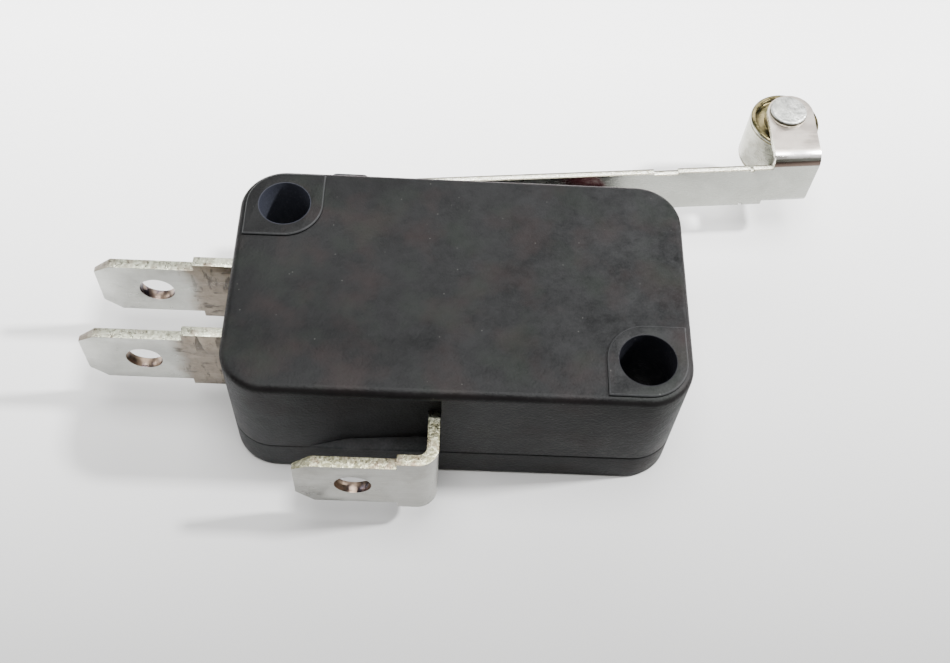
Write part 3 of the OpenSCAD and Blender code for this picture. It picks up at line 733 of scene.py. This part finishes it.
def raised_pad(centre):
    """Pad round a mounting hole: square at two opposite corners, round at the others."""
    low = Vector((centre[0] - PAD_R, centre[1] - PAD_R, FACE_Z - 1.5 * PAD_H))
    high = Vector((centre[0] + PAD_R, centre[1] + PAD_R, PAD_Z))
    piece = block("pad", low, high)

    def rounded(edge):
        middle = (edge.verts[0].co + edge.verts[1].co) / 2
        across = (middle.x - centre[0]) * (middle.y - centre[1])
        return spans(edge, 2, PAD_H / 2) and across < 0

    round_edges(piece, rounded, PAD_R * 0.999, 14)
    round_edges(piece, lies_at(PAD_Z), PAD_EDGE_R, 3)
    return piece


def housing_ear(low, thickness):
    """Ear on the body's side that holds the hinge pin, with two rounded corners."""
    half = EAR_W / 2
    top = HINGE.y + EAR_UP
    foot = POCKET_FLOOR - 0.1 * MM
    piece = block("ear", (HINGE.x - half, foot, low), (HINGE.x + half, top, low + thickness))
    at_top = lies_at(top, 1)
    round_edges(piece, lambda edge: at_top(edge) and spans(edge, 2, thickness / 2), EAR_CORNER_R, 6)
    return piece


def inner_space(low, high):
    """The hollow of the housing, as a tool: it leaves bosses round the holes and pegs."""
    tool = block("hollow", (IN_LEFT, IN_FRONT, low), (IN_RIGHT, IN_BACK, high))
    for hole in HOLES:
        combine(tool, rod("boss", hole["pos_m"], BOSS_R, low - MM, high + MM))
    for peg in PEGS:
        combine(tool, rod("boss", (*peg, 0), PEG_BOSS_R, low - MM, high + MM))
    return tool


def drill_mounting_holes(piece):
    """Cuts both mounting holes through a piece."""
    for hole in HOLES:
        radius = hole["dims"]["r_mm"] * MM
        combine(piece, rod("drill", hole["pos_m"], radius, -MM, PAD_Z + MM, sides=72))


def make_case():
    """The upper half of the housing, with pads, ear, recess and the slots for the terminals."""
    piece = moulded_block("case_shell", PARTING_Z, FACE_Z, (PARTING_BEVEL, 1), (TOP_EDGE_R, 5))
    for hole in HOLES:
        combine(piece, raised_pad(hole["pos_m"]), "UNION")
    combine(piece, housing_ear(CASE_EAR_Z, CASE_EAR_T), "UNION")

    plunger_low, plunger_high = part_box("plunger")
    plunger = (plunger_low + plunger_high) / 2
    below = PARTING_Z - MM
    hollow = inner_space(below, ROOF_Z)
    combine(hollow, rod("collar", plunger, GUIDE_COLLAR_R, GUIDE_END, IN_BACK + MM, "Y"))
    combine(piece, hollow)
    drill_mounting_holes(piece)
    combine(piece, rod("guide", plunger, GUIDE_R, GUIDE_END - MM, BACK + MM, "Y"))
    peg_top = PARTING_Z + PEG_LEN + PEG_HOLE_SPARE
    for peg in PEGS:
        combine(piece, rod("peg_hole", (*peg, 0), PEG_R + PLAY, below, peg_top))

    outer_x = COMMON_HIGH.x
    wall_x = outer_x + LOOSE_PLAY
    outline = [
        (RECESS_START, FRONT - MM), (RECESS_START, FRONT), (RECESS_SLOPE_END, FRONT + RECESS_SLOPE_DEEP),
        (outer_x - 2 * STRIP_T, FRONT + RECESS_DEEP), (wall_x, FRONT + RECESS_DEEP), (wall_x, FRONT - MM),
    ]
    combine(piece, prism("recess", outline, below, RECESS_TOP))
    slot_top = MID_Z + TAB_W / 2 + PLAY
    for node in ("normally_open_terminal", "normally_closed_terminal"):
        low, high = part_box(node)
        slot_low = (LEFT - MM, low.y - PLAY, below)
        combine(piece, block("slot", slot_low, (IN_LEFT + MM, high.y + PLAY, slot_top)))
    neck_low = (outer_x - STRIP_T - PLAY, FRONT - MM, below)
    neck_high = (outer_x + PLAY, IN_FRONT + MM, MID_Z + COMMON_NECK_UP + PLAY)
    combine(piece, block("slot", neck_low, neck_high))
    half = EAR_W / 2 + LOOSE_PLAY
    pocket_high = (HINGE.x + half, BACK + 2 * MM, CASE_EAR_Z)
    combine(piece, block("pocket", (HINGE.x - half, POCKET_FLOOR, below), pocket_high))
    combine(piece, rod("pin_hole", HINGE, PIN_R + PLAY, CASE_EAR_Z - MM, CASE_EAR_Z + 2 * MM))
    soften(outward(piece), HOUSING_EDGE_R)
    return stand_for(piece, "case", "housing", "case", BLACK)


def make_cover():
    """The lower half of the housing, with its ear and the pegs that locate it."""
    piece = moulded_block("cover_shell", 0, PARTING_Z, (FOOT_EDGE_R, 4), (PARTING_BEVEL, 1))
    combine(piece, housing_ear(PARTING_Z - COVER_EAR_T, COVER_EAR_T), "UNION")
    combine(piece, inner_space(FLOOR_T, PARTING_Z + MM))
    drill_mounting_holes(piece)
    ear_foot = PARTING_Z - COVER_EAR_T
    combine(piece, rod("pin_hole", HINGE, PIN_R + PLAY, ear_foot - MM, PARTING_Z + MM))
    for peg in PEGS:
        combine(piece, rod("peg", (*peg, 0), PEG_R, PARTING_Z - MM, PARTING_Z + PEG_LEN), "UNION")
    soften(outward(piece), HOUSING_EDGE_R)
    return stand_for(piece, "cover", "housing", "cover", BLACK)


# ---------------------------------------------------------------- terminals

def mirrored(upper):
    """An outline from its upper half, mirrored across the strip's middle."""
    return upper + [(x, -z) for x, z in reversed(upper)]


def coin_tip(piece, tip, centre_y):
    """Thins the tip of a tab, which lies with its tip at the lowest X."""
    pick(piece, "FACE", lambda face: True)
    bpy.ops.mesh.bisect(plane_co=(tip + TIP_LEN, 0, 0), plane_no=(1, 0, 0))
    bpy.ops.object.mode_set(mode="OBJECT")
    pick(piece, "VERT", lambda vertex: vertex.co.x < tip + 0.01 * MM)
    widen((1, TIP_THIN, 1), (tip, centre_y, MID_Z))
    bpy.ops.object.mode_set(mode="OBJECT")


def finish_strip(piece, finishes, kind, width=0.06 * MM):
    """Puts a finish on each kind of face, and rounds the edges."""
    for finish in finishes:
        piece.data.materials.append(finish)
    for face in piece.data.polygons:
        face.material_index = kind(face)
    soften(piece, width, 2)


def wall_of(hole):
    """A test for the faces of a tab's punched hole."""
    centre = Vector(hole["pos_m"])
    reach = hole["dims"]["r_mm"] * MM * 1.01
    return lambda face: (face.center - centre).xz.length < reach and abs(face.normal.y) < 0.5


def lie_on_edge(piece, top_y):
    """Turns a plate drawn in X and Y so that it stands in X and Z, its face at top_y."""
    piece.matrix_world = Matrix.Translation((0, top_y, MID_Z)) @ Matrix.Rotation(math.pi / 2, 4, "X")
    settle(piece)


def punch_tab(piece, node, low_y, high_y):
    """Punches a terminal's tab, and gives the test for the hole's wall."""
    hole = MOUNTS[node.replace("terminal", "tab_hole")]
    combine(piece, rod("punch", hole["pos_m"], hole["dims"]["r_mm"] * MM, low_y, high_y, "Y", 48))
    return wall_of(hole)


def make_side_terminals():
    """The two side terminals: one is modelled, and the other is its copy further along Y."""
    node, other = "normally_open_terminal", "normally_closed_terminal"
    low, high = SIDE_LOW, SIDE_HIGH
    inner = IN_LEFT + INNER_GAP
    shoulder_x = LEFT - SHOULDER_LEN
    inner_end = inner + INNER_SHOULDER_LEN
    upper = [
        (low.x, TAB_W / 2 - TIP_WID), (low.x + TIP_LEN, TAB_W / 2), (shoulder_x, TAB_W / 2),
        (shoulder_x, SHOULDER_W / 2), (LEFT - PLAY, SHOULDER_W / 2), (LEFT - PLAY, TAB_W / 2),
        (inner, TAB_W / 2), (inner, INNER_SHOULDER_W / 2), (inner_end, INNER_SHOULDER_W / 2),
        (inner_end, TONGUE_W / 2), (high.x, TONGUE_W / 2),
    ]
    piece = prism(node + "_strip", mirrored(upper), 0, STRIP_T)
    lie_on_edge(piece, high.y)
    coin_tip(piece, low.x, (low.y + high.y) / 2)
    in_hole = punch_tab(piece, node, low.y - MM, high.y + MM)
    contact_low, contact_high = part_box("normally_open_contact")
    rivet = (contact_low + contact_high) / 2
    combine(piece, rod("rivet_hole", rivet, CONTACT_RIVET_R, low.y - MM, high.y + MM, "Y", 32))
    kind = lambda face: 2 if in_hole(face) else int(abs(face.normal.y) < 0.8)
    finish_strip(outward(piece), (PLATED, SHEARED, PUNCHED), kind)

    twin = piece.copy()
    twin.data = piece.data.copy()
    twin.name = other + "_strip"
    bpy.context.scene.collection.objects.link(twin)
    twin.location.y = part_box(other)[1].y - high.y
    settle(twin)
    stand_for(piece, node, "housing", "terminal")
    stand_for(twin, other, "housing", "terminal")


def cut_end(level, low, high):
    """A test for the end face of the common terminal's strip, which spans low to high about the middle."""
    aim = facing((0, 1, 0), level, 1)
    return lambda face: aim(face) and near(face.calc_center_median().z, MID_Z + (low + high) / 2)


def make_common_terminal():
    """The front terminal: a tab, folded at the shoulder, whose strip ends in the knife edge."""
    low, high = COMMON_LOW, COMMON_HIGH
    node, tip = "common_terminal", low.x
    bend_x = high.x - BEND_R
    upper = [
        (tip, TAB_W / 2 - TIP_WID), (tip + TIP_LEN, TAB_W / 2), (STEP_X, TAB_W / 2),
        (STEP_X, SHOULDER_W / 2), (bend_x, SHOULDER_W / 2),
    ]
    piece = prism(node + "_strip", mirrored(upper), 0, STRIP_T)
    lie_on_edge(piece, low.y + STRIP_T)
    coin_tip(piece, tip, low.y + STRIP_T / 2)
    fold(piece, facing((1, 0, 0), bend_x, 0), (bend_x, low.y + BEND_R, MID_Z), (0, 0, 1), -math.pi / 2, 10)
    middle_x = high.x - STRIP_T / 2
    stretches = (
        (FRONT - SHOULDER_GAP, -TAB_W / 2, COMMON_NECK_UP),
        (IN_FRONT + INNER_GAP, -INNER_SHOULDER_W / 2, INNER_SHOULDER_W / 2),
        (IN_FRONT + INNER_GAP + INNER_SHOULDER_LEN, -TONGUE_W / 2, TONGUE_W / 2),
    )
    reached = low.y + BEND_R
    was_low, was_high = -SHOULDER_W / 2, SHOULDER_W / 2
    for end, next_low, next_high in stretches:
        strip_end = cut_end(reached, was_low, was_high)
        extrude(piece, strip_end, (0, end - reached, 0))
        pick(piece, "FACE", cut_end(end, was_low, was_high))
        bpy.ops.mesh.extrude_region_move(TRANSFORM_OT_translate={"value": (0, 0, 0)})
        narrower = (next_high - next_low) / (was_high - was_low)
        widen((1, 1, narrower), (middle_x, end, MID_Z + was_low))
        bpy.ops.transform.translate(value=(0, 0, next_low - was_low))
        bpy.ops.object.mode_set(mode="OBJECT")
        reached, was_low, was_high = end, next_low, next_high
    knife_foot = high.y - KNIFE_LEN
    extrude(piece, cut_end(reached, was_low, was_high), (0, knife_foot - reached, 0))
    pick(piece, "FACE", facing((0, 1, 0), knife_foot, 1))
    bpy.ops.mesh.extrude_region_move(TRANSFORM_OT_translate={"value": (0, KNIFE_LEN, 0)})
    widen((KNIFE_SHARP, 1, 1), (middle_x, high.y, MID_Z))
    bpy.ops.object.mode_set(mode="OBJECT")
    in_hole = punch_tab(piece, node, low.y - MM, low.y + 2 * MM)

    def kind(face):
        """0 on the flat of the strip, 1 on its cut edge and 2 in the hole."""
        if in_hole(face):
            return 2
        end = face.center.x < bend_x and abs(face.normal.y) < 0.5
        return int(end or abs(face.normal.z) > 0.5)

    finish_strip(outward(piece), (PLATED, SHEARED, PUNCHED), kind)
    return stand_for(piece, node, "housing", "terminal")


# ---------------------------------------------------------------- lever and roller

def place_on_lever(piece):
    """Carries a piece from the lever's own frame to its place."""
    piece.matrix_world = Matrix.Translation(HINGE) @ Matrix.Rotation(TILT, 4, "Z")
    settle(piece)


def channel(name, x_low, x_high, z_low, z_high, fold_r, arm_end, up):
    """Folded sheet: a flat base, and an arm at each side that ends at arm_end."""
    fold_y = SHEET_UP + fold_r if up else SHEET_UP + SHEET_T - fold_r
    turn = 1 if up else -1
    piece = block(name, (x_low, SHEET_UP, z_low + fold_r), (x_high, SHEET_UP + SHEET_T, z_high - fold_r))
    for side, level in ((1, z_high - fold_r), (-1, z_low + fold_r)):
        fold(piece, facing((0, 0, side), level, 2), (0, fold_y, level), (1, 0, 0), side * turn * math.pi / 2)
        extrude(piece, facing((0, turn, 0), fold_y, 1), (0, arm_end - fold_y, 0))
    return piece


def round_arms(piece, end, radius):
    """Rounds the ends of both arms of a channel."""
    at_end = lies_at(end, 1)
    round_edges(piece, lambda edge: at_end(edge) and spans(edge, 2, SHEET_T / 2), radius * 0.999, 10)


def make_lever():
    """The lever, from its folded lugs and roller bracket joined to a flat sheet."""
    lugs = channel("lever_lugs", -LUG_R, LUG_R, SHEET_BOTTOM, SHEET_TOP, LUG_FOLD_R, -LUG_R, False)
    round_arms(lugs, -LUG_R, LUG_R)

    left = ROLLER_AT.x - BRACKET_LEN / 2
    right = left + BRACKET_LEN
    arm_end = ROLLER_AT.y + BRACKET_EAR_R
    bracket = channel("lever_bracket", left, right, BRACKET_BOTTOM, BRACKET_TOP, FOLD_R, arm_end, True)
    pick(bracket, "FACE", facing((0, 1, 0), arm_end, 1))
    widen((2 * BRACKET_EAR_R / BRACKET_LEN, 1, 1), ((left + right) / 2, 0, 0))
    bpy.ops.transform.translate(value=(BRACKET_LEAN, 0, 0))
    bpy.ops.object.mode_set(mode="OBJECT")
    round_arms(bracket, arm_end, BRACKET_EAR_R)

    low = (LUG_R - PLAY, SHEET_UP, SHEET_BOTTOM)
    piece = block("lever_sheet", low, (left + PLAY, SHEET_UP + SHEET_T, SHEET_TOP))
    combine(piece, outward(lugs), "UNION")
    combine(piece, outward(bracket), "UNION")
    for along, length in ((NOTCH_ALONG, NOTCH_LEN), (RELIEF_ALONG, RELIEF_LEN)):
        for level in (SHEET_BOTTOM, SHEET_TOP):
            low = (along - length / 2, SHEET_UP - MM, level - NOTCH_DEEP)
            high = (along + length / 2, SHEET_UP + SHEET_T + MM, level + NOTCH_DEEP)
            combine(piece, block("notch", low, high))
    pin_hole = rod("pin_hole", (0, 0, 0), PIN_R + LOOSE_PLAY, 2 * SHEET_BOTTOM, 2 * SHEET_TOP, sides=32)
    combine(piece, pin_hole)
    rivet_hole = rod("rivet_hole", ROLLER_AT, RIVET_R + PLAY, 2 * BRACKET_BOTTOM, 2 * BRACKET_TOP, sides=32)
    combine(piece, rivet_hole)
    outward(piece)

    def rolled(face):
        """Faces of the rolled sheet, as against its cut edges."""
        if LUG_R < face.center.x < left:
            return abs(face.normal.y) > 0.8
        level = face.center.y
        on_flat = SHEET_UP - PLAY < level < SHEET_UP + FOLD_R
        return abs(face.normal.z) > 0.5 or on_flat and abs(face.normal.y) > 0.3

    finish_strip(piece, (LEVER_STEEL, LEVER_EDGE), lambda face: int(not rolled(face)), 0.05 * MM)
    place_on_lever(piece)
    return stand_for(piece, "lever", "lever", "lever")


def make_roller():
    """The roller: rounded rims, a dish round the hub at each end, and a bore."""
    low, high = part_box("roller")
    radius = (high.x - low.x) / 2
    piece = rod("roller_drum", ROLLER, radius, low.z, high.z, sides=96)
    dish_r = radius - ROLLER_RIM_R - ROLLER_RIM_W

    def in_dish(face):
        """The flat ring of an end face, between hub and rim."""
        middle = face.calc_center_median()
        return near(middle.z, level) and ROLLER_HUB_R * 0.99 < (middle - ROLLER).xy.length < dish_r

    for level, side in ((high.z, 1), (low.z, -1)):
        round_edges(piece, lies_at(level), ROLLER_RIM_R, 4)
        pick(piece, "FACE", facing((0, 0, side), level, 2))
        bpy.ops.mesh.inset(thickness=ROLLER_RIM_W)
        bpy.ops.mesh.inset(thickness=dish_r - ROLLER_HUB_R)
        bpy.ops.object.mode_set(mode="OBJECT")
        extrude(piece, in_dish, (0, 0, -side * ROLLER_DISH))
    combine(piece, rod("bore", ROLLER, RIVET_R + LOOSE_PLAY, low.z - MM, high.z + MM, sides=48))
    soften(outward(piece), 0.04 * MM, 2, 35)
    return stand_for(piece, "roller", "roller", "roller", ROLLER_STEEL)


def make_rivet():
    """The rivet that the roller turns on, with a rounded head at each end."""
    low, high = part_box("roller_rivet")
    inside_head = RIVET_HEAD_T / 2
    piece = rod("rivet_shank", ROLLER, RIVET_R, low.z + inside_head, high.z - inside_head, sides=48)
    for start, end in ((low.z, low.z + RIVET_HEAD_T), (high.z - RIVET_HEAD_T, high.z)):
        head = rod("rivet_head", ROLLER, RIVET_HEAD_R, start, end, sides=64)
        outer = end if start > MID_Z else start
        round_edges(head, lies_at(outer), RIVET_HEAD_EDGE_R, 4)
        combine(piece, head, "UNION")
    soften(outward(piece), 0.03 * MM, 2, 40)
    return stand_for(piece, "roller_rivet", "lever", "rivet", RIVET_STEEL)


def make_plunger():
    """The plunger: a stem with rounded ends, and the flange that keeps it in the housing."""
    low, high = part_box("plunger")
    middle = (low + high) / 2
    piece = rod("plunger_stem", middle, STEM_R, low.y, high.y, "Y")
    round_edges(piece, lies_at(high.y, 1), STEM_TOP_R, 6)
    round_edges(piece, lies_at(low.y, 1), STEM_FOOT_R, 4)
    flange_top = GUIDE_END - FLANGE_GAP
    flange = rod("flange", middle, (high.x - low.x) / 2, flange_top - FLANGE_T, flange_top, "Y")
    combine(piece, flange, "UNION")
    soften(outward(piece), 0.05 * MM, 2, 40)
    return stand_for(piece, "plunger", "plunger", "plunger", RED)


def make_return_spring():
    """The coil under the blade, which shortens as the blade rocks down on it."""
    node = frame["nodes"]["return_spring"]
    piece = bpy.data.objects.new("return_spring_coil", node.data.copy())
    bpy.context.scene.collection.objects.link(piece)
    piece.matrix_world = node.matrix_world.copy()
    settle(piece)
    piece.data.materials.clear()
    outward(piece)
    bpy.ops.object.shade_smooth_by_angle(angle=math.radians(40))
    stand_for(piece, "return_spring", "housing", "spring", SPRING_STEEL)
    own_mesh(piece)
    return piece


def dress(node, material):
    """Gives a CAD node that stays as it is its finish."""
    mesh = frame["nodes"][node].data
    mesh.materials.clear()
    mesh.materials.append(material)


# ---------------------------------------------------------------- table, light and camera

TABLE_SIZE = 1.2
TABLE_MIDDLE = (0.0111, -0.005, 0)
ROOM_COLOUR = (0.48, 0.46, 0.42, 1)
ROOM_STRENGTH = 0.65
LIT_POINT = (0.012, 0, 0)
# Each light's name, place, target, size and power in watts
LIGHTS = (
    ("ceiling", (0.01, 0.0, 0.30), (0.01, 0, 0), (0.18, 0.18), 2.35),
    ("lamp", (0.30, 0.03, 0.28), LIT_POINT, (0.03, 0.03), 5.2),
    ("window", (0.012, 0.20, 0.16), LIT_POINT, (0.22, 0.12), 0.45),
    ("side_wall", (-0.25, 0.05, 0.15), LIT_POINT, (0.15, 0.15), 0.55),
)
CAMERA_PLACE = (0.009788, -0.044947, 0.069369)
CAMERA_TURN = (0.5478, -0.0485, 0.01707)
CAMERA_LENS, CAMERA_SENSOR = 44.67, 36


def make_table():
    """The plain table that the switch lies on."""
    clear_selection()
    bpy.ops.mesh.primitive_plane_add(size=TABLE_SIZE, location=TABLE_MIDDLE)
    table = bpy.context.object
    table.name = "table"
    settle(table)
    table.data.materials.append(pale_table())


def area_light(name, place, target, size, power):
    """A rectangular light that faces a target."""
    light = bpy.data.lights.new(name, "AREA")
    light.shape = "RECTANGLE"
    light.size, light.size_y = size
    light.energy = power
    lamp = bpy.data.objects.new(name, light)
    bpy.context.scene.collection.objects.link(lamp)
    lamp.location = place
    lamp.rotation_euler = (Vector(target) - Vector(place)).to_track_quat("-Z", "Y").to_euler()


def make_light():
    """A broad ceiling light, a lamp to the right, weak light from behind and left, and a dim brown room."""
    world = bpy.data.worlds.new("room")
    world.use_nodes = True
    bpy.context.scene.world = world
    background = world.node_tree.nodes["Background"]
    background.inputs["Color"].default_value = ROOM_COLOUR
    background.inputs["Strength"].default_value = ROOM_STRENGTH
    for light in LIGHTS:
        area_light(*light)


def make_camera():
    """The camera, which looks down at the switch from the front."""
    camera = bpy.data.cameras.new("camera")
    camera.lens = CAMERA_LENS
    camera.sensor_width = CAMERA_SENSOR
    camera.clip_start = 0.001
    view = bpy.data.objects.new("camera", camera)
    bpy.context.scene.collection.objects.link(view)
    view.location = CAMERA_PLACE
    view.rotation_euler = CAMERA_TURN
    bpy.context.scene.camera = view


make_camera()
make_table()
make_light()
make_case()
make_cover()
make_side_terminals()
make_common_terminal()
make_lever()
make_rivet()
make_roller()
make_plunger()
dress("hinge_pin", PIN_STEEL)
make_return_spring()
dress("moving_blade", BLADE_COPPER)
for contact in ("moving_contact", "normally_open_contact", "normally_closed_contact"):
    dress(contact, CONTACT_SILVER)
clear_selection()
